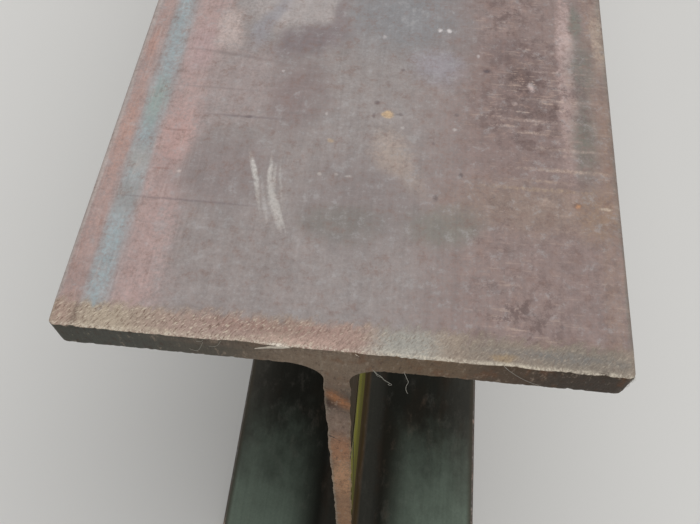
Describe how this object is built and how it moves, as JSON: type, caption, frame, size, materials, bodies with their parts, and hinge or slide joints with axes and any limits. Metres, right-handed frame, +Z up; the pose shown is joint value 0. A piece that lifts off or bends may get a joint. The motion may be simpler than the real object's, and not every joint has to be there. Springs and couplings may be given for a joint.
{
  "type": "steel i-beam",
  "caption": "Hot-rolled steel I-beam with parallel flanges and saw-cut ends, in brown-grey mill scale with light rust, with a yellow mill sticker on its web. It stands on its bottom flange.",
  "frame": {"origin": "middle of the bottom flange's underside, halfway along the beam, where the beam stands on the floor", "axes": "+Y along the beam, with the end that has the sticker at -Y; +Z up through the web, from the bottom flange to the top one; +X across the flanges, towards the side of the web that has the sticker"},
  "size_m": [0.125, 6, 0.25],
  "materials": {
    "hot_rolled_steel": "matte",
    "label_paper": "matte"
  },
  "bodies": {
    "root": {"rolled_beam": "hot_rolled_steel", "web_label": "label_paper"}
  },
  "joints": []
}
